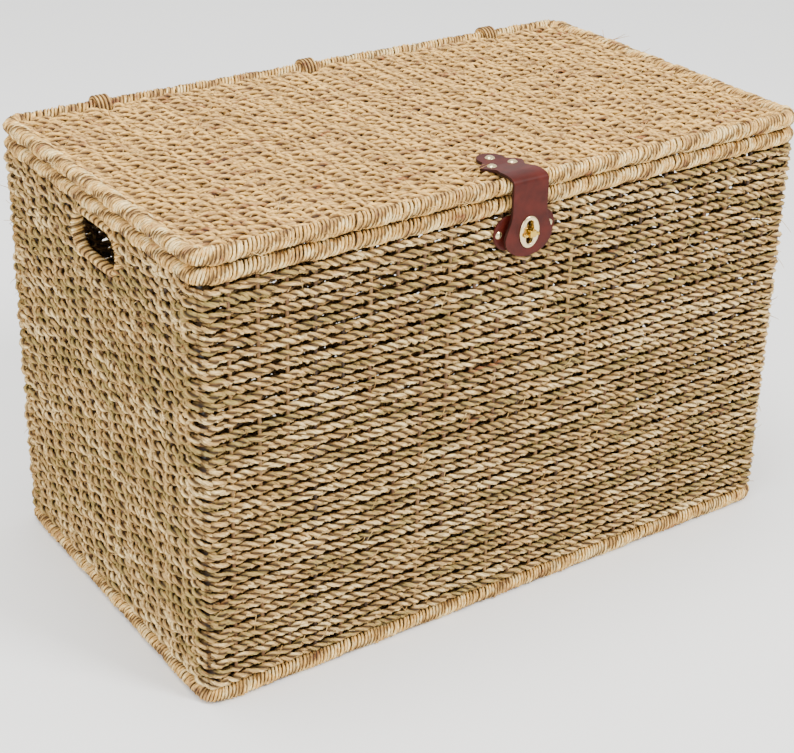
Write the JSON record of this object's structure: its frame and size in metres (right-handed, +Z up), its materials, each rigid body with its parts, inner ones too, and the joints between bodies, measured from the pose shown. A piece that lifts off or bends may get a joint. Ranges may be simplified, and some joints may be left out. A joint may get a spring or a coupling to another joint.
{
  "type": "wicker storage trunk",
  "caption": "Woven seagrass storage trunk with a hinged lid, cord-wrapped rims, hand holes in the sides and a leather strap with a turn lock.",
  "frame": {"origin": "on the floor under the middle of the trunk's bounding box", "axes": "+X to the right along the trunk's length, -Y to the front with the lock, +Z up"},
  "size_m": [0.62, 0.3736, 0.4061],
  "materials": {
    "seagrass_weave": "matt twisted seagrass cord",
    "seagrass_lid": "matt twisted seagrass cord, paler",
    "seagrass_binding": "matt thin cord, coiled",
    "hinge_cord": "matt thin cord",
    "stake_cane": "peeled cane",
    "frame_steel": "black painted rod",
    "leather": "smooth, slight sheen",
    "brass": "pale, polished",
    "washer_steel": "plain"
  },
  "bodies": {
    "trunk": {"box_frame": "frame_steel", "bottom_rim_wrap": "seagrass_binding", "top_rim_wrap": "seagrass_binding", "front_weave": "seagrass_weave", "back_weave": "seagrass_weave", "left_weave": "seagrass_weave", "right_weave": "seagrass_weave", "base_weave": "seagrass_weave", "front_stakes": "stake_cane", "back_stakes": "stake_cane", "left_stakes": "stake_cane", "right_stakes": "stake_cane", "base_stakes": "stake_cane", "left_hand_hole_binding": "seagrass_binding", "right_hand_hole_binding": "seagrass_binding", "hinge_loops": "hinge_cord", "lock_patch": "leather", "lock_patch_rivets": "brass", "lock_patch_washers": "brass", "lock_base": "brass", "lock_backing_plate": "brass"},
    "lid": {"lid_frame": "frame_steel", "lid_rim_wrap": "seagrass_binding", "lid_weave": "seagrass_lid", "lid_stakes": "stake_cane", "lid_strap": "leather", "strap_rivets": "brass", "strap_washers": "brass"},
    "flap": {"strap_flap": "leather", "eyelet_front": "brass", "eyelet_back": "brass"},
    "knob": {"turn_knob": "brass", "spindle_washer": "washer_steel"}
  },
  "joints": [
    {"name": "lid_hinge", "type": "hinge", "parent": "trunk", "child": "lid", "pos_m": [0, 0.17555, 0.3948], "axis": [-1, 0, 0], "range_deg": [0, 110]},
    {"name": "flap_fold", "type": "hinge", "parent": "lid", "child": "flap", "pos_m": [-0.007, -0.17675, 0.4041], "axis": [-1, 0, 0], "range_deg": [0, 120]},
    {"name": "knob_turn", "type": "hinge", "parent": "trunk", "child": "knob", "pos_m": [-0.007, -0.18245, 0.3568], "axis": [0, -1, 0], "range_deg": [0, 90]}
  ]
}
